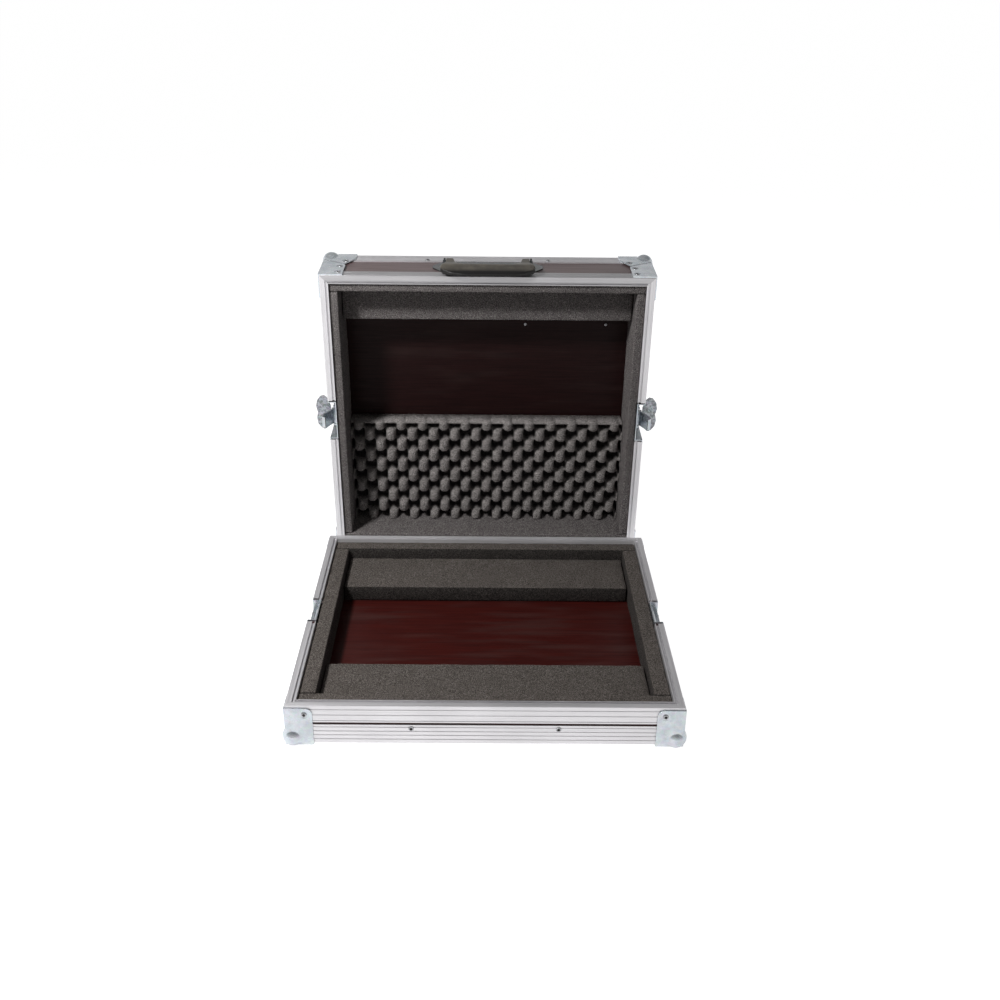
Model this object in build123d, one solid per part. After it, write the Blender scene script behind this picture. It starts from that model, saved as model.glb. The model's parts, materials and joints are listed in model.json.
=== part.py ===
from build123d import *
import math
import os

# A flight case for a table-top mixer, in two loose halves: a shallow tray that
# lies on the floor, and a deeper cover that stands on its rear wall behind it.
# Millimetres. +X is to the right, +Y to the back, +Z up.
#
# Both halves are drawn in the closed case, with x = y = 0 at its middle and
# z = 0 on the floor. stand() then carries every cover piece to its place
# behind the tray, and lay() moves every tray piece with it.

# Case
WIDTH = 450.0
DEPTH = 420.0
TRAY_HEIGHT = 52.0
COVER_HEIGHT = 94.0
FOOT = 6.0
BUTT_GAP = 0.5
STAND_GAP = 72.0

# Sheet and section
PLY = 9.0
FLANGE = 1.5
LIP = 1.0
RIM = FLANGE + PLY + LIP
RIM_SEAT = 7.0
RIM_STEP = 10.3
RIM_SINK = 3.0
LIP_LEG = 8.0
ANGLE_LEG = 26.0
TRAY_RIM_LEG = 23.0
COVER_RIM_LEG = 19.0
GROOVE_WIDTH = 1.4
GROOVE_DEPTH = 0.5
ANGLE_MARKS = [6.4, 12.0, 17.4, 23.0]
TRAY_RIM_MARKS = [-5.4, -12.6, -20.4]
COVER_RIM_MARKS = [-5.4, -12.6]
RIM_NOSE = 0.6
ANGLE_NOSE = 1.2
PLATE = 1.5

# Ball corners, braces and rivets
BALL_RADIUS = 13.0
BALL_INSET = BALL_RADIUS - FOOT
CORNER_WIDTH = 31.0
CORNER_REACH = 49.0
COVER_CORNER_LEG = 43.0
BRACE_START = 1.0
SPLIT_INNER = 46.0
SPLIT_OUTER = 27.0
SPLIT_GAP = 2.0
TRAY_CORNER_RIVET = (21.5, [39.5])
COVER_CORNER_RIVET = (30.0, [32.0])
BRACE_RIVET = (24.5, [12.7, 38.0])
RIVET_RADIUS = 3.2
RIVET_HEIGHT = 1.2
RIVET_ALONG = 83.5
RIVET_UP = 21.0
TRAY_DISH_RIVET = (18.0, 18.3)
COVER_DISH_RIVET = (30.5, 52.0)
DIMPLE_RADIUS = 5.6
DIMPLE_DEPTH = 0.9
RIVET_SIDES = 8
BALL_SIDES = 12

# Foam
TRAY_LINER = 20.0
COVER_LINER = 12.0
TRAY_FOAM_DROP = 4.0
COVER_FOAM_DROP = 3.0
BLOCK_LENGTH = 84.0
BLOCK_HEIGHT = 22.5
STRIP_WIDTH = 50.0
STRIP_HEIGHT = 45.5
CRATE_LENGTH = 160.0
CRATE_BASE = 10.0
CRATE_HEIGHT = 35.0
CRATE_COLUMN_STEP = 15.85
CRATE_ROW_STEP = 17.0
CRATE_FIRST_ROW = 4.0
CRATE_GAP = 0.2
CRATE_TAPER = 8.0
FOAM_CLEAR = 0.3

# Handle
HANDLE_PLATE_LENGTH = 150.0
HANDLE_PLATE_WIDTH = 46.0
HANDLE_DEPTH = 44.0
HANDLE_PIVOT_OUT = 6.8
HANDLE_HALF = 57.0
HANDLE_FLARE = 7.0
HANDLE_REACH = 57.0
HANDLE_INNER = 28.0
GRIP_PIN = 2.2
EAR_RADIUS = 5.0
EAR_WIDTH = 2.5

# Latches
NOTCH_TRAY = 58.0
NOTCH_COVER = 60.0
NOTCH_FIT = 0.3
SHEET = 1.2
POCKET_HALF = 27.0
POCKET_TOP = 57.5
DISH_LAP = 7.0
KEEPER_HALF = 24.0
KEEPER_DROP = 14.0
SPINDLE_UP = 30.0
WING_HALF = 26.0
WING_REACH = 24.0
WING_THICK = 2.0
WING_PIVOT = WIDTH / 2 - 2.8
HOOK_UP = 19.0
HOOK_PIVOT = WIDTH / 2 - 7.2
HOOK_SWING = 28.0
HOOK_HALF = 11.0
KNUCKLE = 2.4
PIN = 1.2
CAM_RADIUS = 8.0
CAM_RISE = 5.0
CAM_SIDES = 16
BOSS_RADIUS = 5.0
STEM_RADIUS = 3.0
LUG_RADIUS = 2.2
LUG_WIDTH = 2.2
LUG_OFFSET = 5.1
ROUND_SIDES = 12
RUNNING_CLEARANCE = 0.05

# Heights in the closed case
TRAY_RIM_Z = FOOT + TRAY_HEIGHT
TRAY_FLOOR_Z = FOOT + FLANGE + PLY
COVER_RIM_Z = TRAY_RIM_Z + BUTT_GAP
COVER_TOP_Z = COVER_RIM_Z + COVER_HEIGHT
COVER_CEILING_Z = COVER_TOP_Z - FLANGE - PLY
SPINDLE_Z = COVER_RIM_Z + SPINDLE_UP
HOOK_Z = COVER_RIM_Z + HOOK_UP
RECESS_X = WIDTH / 2 - RIM

# How the cover stands: it leans on two ball corners and on the lower edge of
# two braces, so it tips a little towards the tray.
BRACE_EDGE_Y = DEPTH / 2 + PLATE
BRACE_EDGE_Z = COVER_RIM_Z + BRACE_START
BALL_Y = DEPTH / 2 - BALL_INSET
BALL_Z = COVER_TOP_Z - BALL_INSET
SUPPORT = math.hypot(BRACE_EDGE_Y - BALL_Y, BALL_Z - BRACE_EDGE_Z)
LEAN = math.degrees(
    math.asin(BALL_RADIUS / SUPPORT) - math.atan2(BRACE_EDGE_Y - BALL_Y, BALL_Z - BRACE_EDGE_Z)
)
CLOSE_ANGLE = 90.0 - LEAN

# The line about which the cover turns from standing to closed, found from one
# point's two places: the brace edge, closed and standing.
STAND_Y = DEPTH / 2 + STAND_GAP
HALF_COT = 0.5 / math.tan(math.radians(-CLOSE_ANGLE / 2))
TURN_Y = (BRACE_EDGE_Y + STAND_Y) / 2 + HALF_COT * BRACE_EDGE_Z
TURN_Z = BRACE_EDGE_Z / 2 + HALF_COT * (STAND_Y - BRACE_EDGE_Y)


def standing(y, z):
    """Where a point of the closed cover is when the cover stands."""
    a = math.radians(-CLOSE_ANGLE)
    dy = y - TURN_Y
    dz = z - TURN_Z
    return TURN_Y + dy * math.cos(a) - dz * math.sin(a), TURN_Z + dy * math.sin(a) + dz * math.cos(a)


# The origin is under the middle of everything, on the floor.
FRONT_END = -DEPTH / 2 - FOOT
BACK_END = standing(BALL_Y, BALL_Z)[0] + BALL_RADIUS
SHIFT_Y = -(FRONT_END + BACK_END) / 2


def lay(shape):
    """A tray piece where it lies."""
    return Pos(0, SHIFT_Y, 0) * shape


def stand(shape):
    """A cover piece where it stands."""
    turn = Pos(0, TURN_Y, TURN_Z) * Rot(-CLOSE_ANGLE, 0, 0) * Pos(0, -TURN_Y, -TURN_Z)
    return Pos(0, SHIFT_Y, 0) * turn * shape


def block(x0, x1, y0, y1, z0, z1):
    """A box given by its faces."""
    return Pos((x0 + x1) / 2, (y0 + y1) / 2, (z0 + z1) / 2) * Box(x1 - x0, y1 - y0, z1 - z0)


def left_of(shape):
    """The left-hand twin of a right-hand piece."""
    return mirror(shape, about=Plane.YZ)


def behind(shape):
    """The rear twin of a front piece."""
    return mirror(shape, about=Plane.XZ)


def four_of(shape):
    """A corner fitting at all four corners, from the one at the front right."""
    right = [shape, behind(shape)]
    return right + [left_of(s) for s in right]


def faceted(rings, sides):
    """A solid of flat faces about Z, through rings of points given as (radius, height)."""
    turns = [2 * math.pi * i / sides for i in range(sides)]
    loops = [[(r * math.cos(a), r * math.sin(a), z) for a in turns] for r, z in rings]
    faces = [Face(Wire.make_polygon(loops[0])), Face(Wire.make_polygon(loops[-1]))]
    for low, high in zip(loops, loops[1:]):
        for i in range(sides):
            j = (i + 1) % sides
            faces.append(Face(Wire.make_polygon([low[i], low[j], high[j], high[i]])))
    return Solid(Shell(faces))


def many_sided(radius, length, sides):
    """A rod of flat faces along Z, about its middle."""
    return faceted([(radius, -length / 2), (radius, length / 2)], sides)


# Aluminium sections, drawn as (in, up): in from the outer face, up from the
# plane that the section is set out from.


def grooved(top, bottom, marks):
    """The outer face of a ribbed leg, from the top down, with a groove at each mark."""
    points = [(0, top)]
    for mark in marks:
        points += [
            (0, mark + GROOVE_WIDTH / 2),
            (GROOVE_DEPTH, mark + GROOVE_WIDTH / 2),
            (GROOVE_DEPTH, mark - GROOVE_WIDTH / 2),
            (0, mark - GROOVE_WIDTH / 2),
        ]
    return points + [(0, bottom)]


def rim_section(leg, marks):
    """The rim: a ribbed leg outside, a sunk seat, and a thin lip inside."""
    web = RIM_SINK + FLANGE
    points = [(RIM_STEP, -RIM_SINK), (RIM_STEP, 0), (RIM, 0), (RIM, -LIP_LEG), (RIM - LIP, -LIP_LEG)]
    points += [(RIM - LIP, -web), (FLANGE, -web), (FLANGE, -leg)]
    points += list(reversed(grooved(0, -leg, marks)))
    points += [(RIM_SEAT, 0), (RIM_SEAT, -RIM_SINK)]
    return points


def angle_section(marks):
    """The edge angle: two ribbed legs at a right angle."""
    upright = grooved(ANGLE_LEG, 0, list(reversed(marks)))
    flat = [(up, across) for across, up in reversed(grooved(ANGLE_LEG, 0, list(reversed(marks))))]
    return upright + flat[1:] + [(ANGLE_LEG, FLANGE), (FLANGE, FLANGE), (FLANGE, ANGLE_LEG)]


def section_bar(points, length, half_width, z, upside_down, nose):
    """A straight length of a section along X, its outer face to the front and its nose bevelled."""
    sign = -1 if upside_down else 1
    outline = [(-half_width + p[0], z + sign * p[1]) for p in points]
    face = make_face(Plane.YZ * Polyline(*outline, close=True))
    bar = Pos(-length / 2, 0, 0) * extrude(face, amount=length, dir=(1, 0, 0))
    near = 0.01
    edges = [
        e
        for e in bar.edges().filter_by(Axis.X)
        if abs(e.center().Y + half_width) < near and abs(e.center().Z - z) < near
    ]
    return chamfer(edges, nose)


def mitre(bar, length, half_width):
    """The bar with both ends cut at 45 degrees, so that four make a frame."""
    cut = 2 * ANGLE_LEG
    half = length / 2
    corners = [
        (-half, -half_width),
        (half, -half_width),
        (half - cut, -half_width + cut),
        (-half + cut, -half_width + cut),
    ]
    wedge = extrude(make_face(Polyline(*corners, close=True)), amount=DEPTH, both=True)
    return bar & wedge


def frame_bars(points, z, upside_down, nose):
    """Front and right bars of one mitred frame; the others are their twins."""
    front = mitre(section_bar(points, WIDTH, DEPTH / 2, z, upside_down, nose), WIDTH, DEPTH / 2)
    side = mitre(section_bar(points, DEPTH, WIDTH / 2, z, upside_down, nose), DEPTH, WIDTH / 2)
    return front, Rot(0, 0, 90) * side


def rim_bars(leg, marks, z, upside_down, notch):
    """Rim bars; the side bar is in two lengths, with a notch for the latch."""
    front, side = frame_bars(rim_section(leg, marks), z, upside_down, RIM_NOSE)
    side = side - block(0, WIDTH, -notch / 2, notch / 2, z - TRAY_HEIGHT, z + TRAY_HEIGHT)
    return front, side


def tray_walls():
    """Plywood front wall and right wall, standing on the bottom panel."""
    top = TRAY_RIM_Z - RIM_SINK - FLANGE
    outer = FLANGE
    inner = FLANGE + PLY
    front = block(
        -WIDTH / 2 + outer, WIDTH / 2 - outer, -DEPTH / 2 + outer, -DEPTH / 2 + inner, TRAY_FLOOR_Z, top
    )
    right = block(
        WIDTH / 2 - inner, WIDTH / 2 - outer, -DEPTH / 2 + inner, DEPTH / 2 - inner, TRAY_FLOOR_Z, top
    )
    hole = KEEPER_HALF + SHEET
    right -= block(0, WIDTH, -hole, hole, TRAY_RIM_Z - KEEPER_DROP - SHEET, top + 1)
    return front, right


def cover_walls():
    """Plywood front wall and right wall of the cover, under its top panel."""
    bottom = COVER_RIM_Z + RIM_SINK + FLANGE
    outer = FLANGE
    inner = FLANGE + PLY
    half = WIDTH / 2 - outer
    front = block(-half, half, -DEPTH / 2 + outer, -DEPTH / 2 + inner, bottom, COVER_CEILING_Z)
    right = block(
        WIDTH / 2 - inner, WIDTH / 2 - outer, -DEPTH / 2 + inner, DEPTH / 2 - inner, bottom, COVER_CEILING_Z
    )
    hole = POCKET_HALF + SHEET
    right -= block(0, WIDTH, -hole, hole, bottom - 1, COVER_RIM_Z + POCKET_TOP + SHEET)
    return front, right


def panel(z0):
    """A full plywood panel, inside the edge angles."""
    half_x = WIDTH / 2 - FLANGE
    half_y = DEPTH / 2 - FLANGE
    return block(-half_x, half_x, -half_y, half_y, z0, z0 + PLY)


def corner_plates(points_front, points_side, points_flat, outer_z, upward):
    """Three plates on the faces of the front right corner, as one sheet."""
    side = 1 if upward else -1
    x = WIDTH / 2
    y = DEPTH / 2
    outline = [(x - a, outer_z + side * b) for a, b in points_front]
    front = make_face(Plane.XZ * Polyline(*outline, close=True))
    front = Pos(0, -y, 0) * extrude(front, amount=PLATE, dir=(0, -1, 0))
    outline = [(-y + a, outer_z + side * b) for a, b in points_side]
    cheek = make_face(Plane.YZ * Polyline(*outline, close=True))
    cheek = Pos(x, 0, 0) * extrude(cheek, amount=PLATE, dir=(1, 0, 0))
    plates = front + cheek
    if points_flat:
        sole = make_face(Polyline(*[(x - a, -y + b) for a, b in points_flat], close=True))
        plates += Pos(0, 0, outer_z) * extrude(sole, amount=PLATE, dir=(0, 0, -side))
    return plates


def rivet_head(place, out, sunk=0.0):
    """A low rivet head on a face, or in a dimple; out is the way that the face looks."""
    head = faceted([(RIVET_RADIUS, -sunk), (0.7 * RIVET_RADIUS, RIVET_HEIGHT - sunk)], RIVET_SIDES)
    return Location(Plane(origin=place, z_dir=out)) * head


def dimple(place, out):
    """What a dimple takes out of a plate around a rivet."""
    cut = faceted([(RIVET_RADIUS + 0.4, -DIMPLE_DEPTH), (DIMPLE_RADIUS, 0)], RIVET_SIDES)
    return Location(Plane(origin=place, z_dir=out)) * cut


def corner_spots(along, ups, outer_z, side):
    """Rivet places on the front and the side plates of the front right corner."""
    x = WIDTH / 2
    y = -DEPTH / 2
    spots = []
    for up in ups:
        spots.append(((x - along, y - PLATE, outer_z + side * up), (0, -1, 0)))
        spots.append(((x + PLATE, y + along, outer_z + side * up), (1, 0, 0)))
    return spots


def ball():
    """The ball of a corner, with a small flat above and below."""
    steps = [math.radians(a) for a in (0, 26, 52)]
    upper = [(BALL_RADIUS * math.cos(a), BALL_RADIUS * math.sin(a)) for a in steps]
    upper += [(BALL_RADIUS / 4, BALL_RADIUS)]
    lower = [(r, -z) for r, z in reversed(upper[1:])]
    return faceted(lower + upper, BALL_SIDES)


def ball_corner(outer_z, upward, leg, rivet):
    """A pressed corner: three riveted plates drawn up into a ball."""
    out = -PLATE
    cut = 7.0
    tall = [
        (out, out),
        (CORNER_WIDTH, out),
        (CORNER_WIDTH, CORNER_REACH - cut),
        (CORNER_WIDTH - cut * 0.3, CORNER_REACH - cut * 0.3),
        (CORNER_WIDTH - cut, CORNER_REACH),
        (out, CORNER_REACH),
    ]
    if leg:
        tall = [(out, out), (leg, out), (leg, 20.0), (CORNER_WIDTH - 2.0, SPLIT_INNER), (out, SPLIT_OUTER)]
    lap = 14.0
    sole = [(out, out), (CORNER_WIDTH, out), (CORNER_WIDTH, lap), (lap, CORNER_WIDTH), (out, CORNER_WIDTH)]
    plates = corner_plates(tall, tall, sole, outer_z, upward)
    side = 1 if upward else -1
    for place, out in corner_spots(rivet[0], rivet[1], outer_z, side):
        plates -= dimple(place, out)
    centre = Pos(WIDTH / 2 - BALL_INSET, -DEPTH / 2 + BALL_INSET, outer_z + side * BALL_INSET)
    inside = Pos(0, 0, outer_z + side * CORNER_REACH) * Box(WIDTH, DEPTH, 2 * CORNER_REACH)
    return (plates + centre * ball()) - inside


def brace():
    """A bent plate over the cover's upright edge, next to the rim."""
    out = -PLATE
    low = BRACE_START
    inner = COVER_HEIGHT - SPLIT_INNER - SPLIT_GAP
    outer = COVER_HEIGHT - SPLIT_OUTER - SPLIT_GAP
    points = [(out, low), (CORNER_WIDTH, low), (CORNER_WIDTH, inner - 3.0)]
    points += [(CORNER_WIDTH - 2.0, inner), (out, outer)]
    plates = corner_plates(points, points, None, COVER_RIM_Z, True)
    for place, out in corner_spots(BRACE_RIVET[0], BRACE_RIVET[1], COVER_RIM_Z, 1):
        plates -= dimple(place, out)
    return plates


def keeper():
    """The tray's pressed keeper on the right: a pocket with a bead for the hook."""
    top = TRAY_RIM_Z - NOTCH_FIT
    floor = TRAY_RIM_Z - KEEPER_DROP
    face = WIDTH / 2 - FLANGE
    hole = KEEPER_HALF + SHEET
    pocket = block(RECESS_X, face, -hole, hole, floor - SHEET, top)
    pocket -= block(RECESS_X + SHEET, face + 1, -KEEPER_HALF, KEEPER_HALF, floor, top + 1)
    half = NOTCH_TRAY / 2 - NOTCH_FIT
    foot = TRAY_RIM_Z - TRAY_RIM_LEG + NOTCH_FIT
    flange = block(face, face + SHEET, -half, half, foot, top)
    flange -= block(face - 1, face + 2, -KEEPER_HALF, KEEPER_HALF, floor, top + 1)
    bead_z = TRAY_RIM_Z - 5.9
    bead = Pos(RECESS_X + SHEET, 0, bead_z) * extrude(
        make_face(Plane.XZ * Polyline((0, -1.6), (2.2, -1.6), (2.9, -0.9), (2.9, 0.4), (0, 1.9), close=True)),
        amount=KEEPER_HALF - 2.0,
        both=True,
    )
    return pocket + flange + bead


def latch_dish():
    """The cover's pressed latch dish on the right, with ears for the hook pin."""
    low = COVER_RIM_Z + NOTCH_FIT
    top = COVER_RIM_Z + POCKET_TOP
    face = WIDTH / 2 - FLANGE
    hole = POCKET_HALF + SHEET
    pocket = block(RECESS_X, face, -hole, hole, low, top + SHEET)
    pocket -= block(RECESS_X + SHEET, face + 1, -POCKET_HALF, POCKET_HALF, low - 1, top)
    half = NOTCH_COVER / 2 - NOTCH_FIT
    flange = block(face, face + SHEET, -half, half, low, COVER_RIM_Z + COVER_RIM_LEG + 1)
    wide = POCKET_HALF + DISH_LAP
    over = block(face, face + SHEET, -wide, wide, COVER_RIM_Z + COVER_RIM_LEG + NOTCH_FIT, top + DISH_LAP)
    corners = [e for e in over.edges().filter_by(Axis.X) if e.center().Z > top]
    flange += chamfer(corners, 4.0)
    flange -= block(face - 1, face + 2, -POCKET_HALF, POCKET_HALF, low - 1, top)
    ear = Pos(HOOK_PIVOT, 0, HOOK_Z) * Rot(90, 0, 0) * many_sided(KNUCKLE + 0.2, 2.0, ROUND_SIDES)
    ear += block(RECESS_X + SHEET, HOOK_PIVOT, -1.0, 1.0, HOOK_Z - KNUCKLE - 0.2, HOOK_Z + KNUCKLE + 0.2)
    ear -= Pos(HOOK_PIVOT, 0, HOOK_Z) * Rot(90, 0, 0) * Cylinder(PIN, 4.0)
    place = HOOK_HALF + 3.0
    dish = pocket + flange + Pos(0, place, 0) * ear + Pos(0, -place, 0) * ear
    stem = Pos(RECESS_X, 0, SPINDLE_Z) * Rot(0, 90, 0) * Cylinder(STEM_RADIUS + RUNNING_CLEARANCE, 6.0)
    return dish - stem


def hook_pin():
    """The pin that the right hook swings on."""
    return Pos(HOOK_PIVOT, 0, HOOK_Z) * Rot(90, 0, 0) * Cylinder(PIN, 2 * HOOK_HALF + 8.0)


def hook():
    """The right hook: a plate with a lip, a knuckle and a short tail, swung open."""
    outer = HOOK_PIVOT + KNUCKLE
    inner = outer - 2.0
    tip = TRAY_RIM_Z - 9.8
    plate = block(inner, outer, -HOOK_HALF, HOOK_HALF, tip, HOOK_Z)
    corners = [e for e in plate.edges().filter_by(Axis.X) if e.center().Z < tip + 0.01]
    plate = chamfer(corners, 2.5)
    lip = block(RECESS_X + SHEET + 0.5, inner, -HOOK_HALF + 3.0, HOOK_HALF - 3.0, tip, tip + 2.0)
    tail = block(outer - 1.0, outer + 0.3, -2.0, 2.0, HOOK_Z, HOOK_Z + 3.7)
    knuckle = Pos(HOOK_PIVOT, 0, HOOK_Z) * Rot(90, 0, 0) * many_sided(KNUCKLE, 2 * HOOK_HALF, ROUND_SIDES)
    bore = Pos(HOOK_PIVOT, 0, HOOK_Z) * Rot(90, 0, 0) * Cylinder(PIN + RUNNING_CLEARANCE, 40.0)
    locked = plate + lip + knuckle + tail - bore
    swing = Pos(HOOK_PIVOT, 0, HOOK_Z) * Rot(0, -HOOK_SWING, 0) * Pos(-HOOK_PIVOT, 0, -HOOK_Z)
    return swing * locked


def spindle():
    """The right turning spindle: a stem, a slanted cam and two lugs for the wing."""
    floor = RECESS_X + SHEET
    boss_top = WING_PIVOT - 2.6
    axis = Pos(0, 0, SPINDLE_Z) * Rot(0, 90, 0)
    cam = Pos(floor + CAM_RISE / 2, 0, 0) * axis * many_sided(CAM_RADIUS, CAM_RISE, CAM_SIDES)
    middle = floor + 2.4
    rise = 1.6
    slant = make_face(
        Plane.XZ
        * Polyline(
            (middle - rise * 1.25, SPINDLE_Z - 10.0),
            (middle + rise * 1.25, SPINDLE_Z + 10.0),
            (middle + 8.0, SPINDLE_Z + 10.0),
            (middle + 8.0, SPINDLE_Z - 10.0),
            close=True,
        )
    )
    cam -= extrude(slant, amount=20.0, both=True)
    boss = Pos((floor + boss_top) / 2, 0, 0) * axis * many_sided(BOSS_RADIUS, boss_top - floor, ROUND_SIDES)
    stem = Pos(RECESS_X + SHEET / 2, 0, 0) * axis * Cylinder(STEM_RADIUS, SHEET)
    lug = Pos(WING_PIVOT, 0, SPINDLE_Z) * Rot(90, 0, 0) * many_sided(LUG_RADIUS, LUG_WIDTH, ROUND_SIDES)
    low = SPINDLE_Z - LUG_RADIUS
    high = SPINDLE_Z + LUG_RADIUS
    lug += block(boss_top - 0.6, WING_PIVOT, -LUG_WIDTH / 2, LUG_WIDTH / 2, low, high)
    lug -= Pos(WING_PIVOT, 0, SPINDLE_Z) * Rot(90, 0, 0) * Cylinder(PIN, 4.0)
    return cam + boss + stem + Pos(0, LUG_OFFSET, 0) * lug + Pos(0, -LUG_OFFSET, 0) * lug


def wing_pin():
    """The pin across the right spindle's lugs."""
    return Pos(WING_PIVOT, 0, SPINDLE_Z) * Rot(90, 0, 0) * Cylinder(PIN, 12.4)


def wing():
    """The right butterfly wing, standing out: two rounded lobes on a knuckle."""
    near = 3.0
    lobe = [
        (0, near),
        (10, near),
        (22, 7.5),
        (WING_HALF, 12.0),
        (24.5, 17.5),
        (18.0, 22.5),
        (9.0, WING_REACH),
        (3.0, 22.8),
        (0, 21.8),
    ]
    outline = lobe + [(-a, r) for a, r in reversed(lobe[1:-1])]
    plate = make_face(Plane.XY * Polyline(*[(WING_PIVOT + r, a) for a, r in outline], close=True))
    plate = Pos(0, 0, SPINDLE_Z) * extrude(plate, amount=WING_THICK / 2, both=True)
    neck = block(WING_PIVOT + 1.0, WING_PIVOT + near + 0.5, -3.6, 3.6, SPINDLE_Z - 1.0, SPINDLE_Z + 1.0)
    knuckle = Pos(WING_PIVOT, 0, SPINDLE_Z) * Rot(90, 0, 0) * many_sided(KNUCKLE, 7.2, ROUND_SIDES)
    bore = Pos(WING_PIVOT, 0, SPINDLE_Z) * Rot(90, 0, 0) * Cylinder(PIN + RUNNING_CLEARANCE, 20.0)
    return plate + neck + knuckle - bore


def handle_plate():
    """The steel plate of the handle, its ends cut to a point, with two ears."""
    half = HANDLE_PLATE_LENGTH / 2
    wide = HANDLE_PLATE_WIDTH / 2
    middle = COVER_RIM_Z + HANDLE_DEPTH
    cut = 14.0
    outline = [
        (half, 5.0),
        (half - cut, wide),
        (cut - half, wide),
        (-half, 5.0),
        (-half, -5.0),
        (cut - half, -wide),
        (half - cut, -wide),
        (half, -5.0),
    ]
    face = make_face(Plane.XZ * Polyline(*outline, close=True))
    plate = Pos(0, -DEPTH / 2 + FLANGE, middle) * extrude(face, amount=FLANGE, dir=(0, -1, 0))
    axis_y = -DEPTH / 2 - HANDLE_PIVOT_OUT
    ear_x = HANDLE_HALF + 0.5 + EAR_WIDTH / 2
    ear = Pos(ear_x, axis_y, middle) * Rot(0, 90, 0) * many_sided(EAR_RADIUS, EAR_WIDTH, ROUND_SIDES)
    ear += block(
        ear_x - EAR_WIDTH / 2,
        ear_x + EAR_WIDTH / 2,
        axis_y,
        -DEPTH / 2 + 0.2,
        middle - EAR_RADIUS,
        middle + EAR_RADIUS,
    )
    ear -= Pos(ear_x, axis_y, middle) * Rot(0, 90, 0) * Cylinder(GRIP_PIN, 2 * EAR_WIDTH)
    return plate + ear + left_of(ear)


def handle_pins():
    """The two pins that the grip folds on."""
    middle = COVER_RIM_Z + HANDLE_DEPTH
    axis_y = -DEPTH / 2 - HANDLE_PIVOT_OUT
    right = Pos(HANDLE_HALF - 3.0, axis_y, middle) * Rot(0, 90, 0) * Cylinder(GRIP_PIN, 14.0)
    return [right, left_of(right)]


def handle_grip():
    """The moulded grip, folded towards the rim: two arms and a broad flat bar."""
    middle = COVER_RIM_Z + HANDLE_DEPTH
    axis_y = -DEPTH / 2 - HANDLE_PIVOT_OUT
    half = HANDLE_HALF
    wide = HANDLE_HALF + HANDLE_FLARE
    right_edge = [
        (half, 4.0),
        (half, -12.0),
        (wide, -38.0),
        (wide - 1.0, -47.0),
        (half - 4.0, -54.0),
        (half - 20.0, -HANDLE_REACH),
    ]
    right_hole = [
        (half - 27.0, -HANDLE_INNER),
        (half - 16.5, -19.0),
        (half - 12.0, -8.0),
        (half - 10.0, 4.0),
    ]
    outline = right_edge + [(-x, z) for x, z in reversed(right_edge)]
    outline += [(-x, z) for x, z in reversed(right_hole)] + right_hole
    shape = make_face(Polyline(*outline, close=True))
    corners = [v for v in shape.vertices() if v.Y < -40.0 and abs(v.X) > half - 5.0]
    shape = fillet(corners, 2.5)
    plan = Pos(0, -DEPTH / 2, middle) * Rot(90, 0, 0) * extrude(shape, amount=30.0)
    under = [(-4.0, -HANDLE_REACH - 1.0), (-4.0, -30.0), (-2.6, -14.0), (-2.6, 5.0)]
    over = [(-11.0, 5.0), (-11.0, -16.0), (-13.5, -34.0), (-13.5, -50.0), (-10.5, -HANDLE_REACH - 1.0)]
    side = make_face(Polyline(*(under + over), close=True))
    side = Pos(0, -DEPTH / 2, middle) * (Plane.YZ * extrude(side, amount=wide + 5.0, both=True))
    body = plan & side
    bore = Pos(half - 3.0, axis_y, middle) * Rot(0, 90, 0) * Cylinder(GRIP_PIN + RUNNING_CLEARANCE, 15.0)
    return body - bore - left_of(bore)


def tray_liners():
    """Foam strips along the tray's walls: front and right."""
    outer_x = WIDTH / 2 - RIM
    outer_y = DEPTH / 2 - RIM
    top = TRAY_RIM_Z - TRAY_FOAM_DROP
    front = block(-outer_x, outer_x, -outer_y, -outer_y + TRAY_LINER, TRAY_FLOOR_Z, top)
    right = block(
        outer_x - TRAY_LINER, outer_x, -outer_y + TRAY_LINER, outer_y - TRAY_LINER, TRAY_FLOOR_Z, top
    )
    return front, right


def cover_liners():
    """Foam strips along the cover's walls: front and right."""
    outer_x = WIDTH / 2 - RIM
    outer_y = DEPTH / 2 - RIM
    low = COVER_RIM_Z + COVER_FOAM_DROP
    front = block(-outer_x, outer_x, -outer_y, -outer_y + COVER_LINER, low, COVER_CEILING_Z)
    right = block(
        outer_x - COVER_LINER, outer_x, -outer_y + COVER_LINER, outer_y - COVER_LINER, low, COVER_CEILING_Z
    )
    return front, right


def tray_block():
    """The front foam bar on the tray's floor."""
    half = WIDTH / 2 - RIM - TRAY_LINER - FOAM_CLEAR
    front = -DEPTH / 2 + RIM + TRAY_LINER + FOAM_CLEAR
    return block(-half, half, front, front + BLOCK_LENGTH, TRAY_FLOOR_Z, TRAY_FLOOR_Z + BLOCK_HEIGHT)


def cover_strip():
    """The foam bar inside the cover, next to its front wall."""
    half = WIDTH / 2 - RIM - COVER_LINER - FOAM_CLEAR
    front = -DEPTH / 2 + RIM + COVER_LINER + FOAM_CLEAR
    return block(-half, half, front, front + STRIP_WIDTH, COVER_CEILING_Z - STRIP_HEIGHT, COVER_CEILING_Z)


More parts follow.
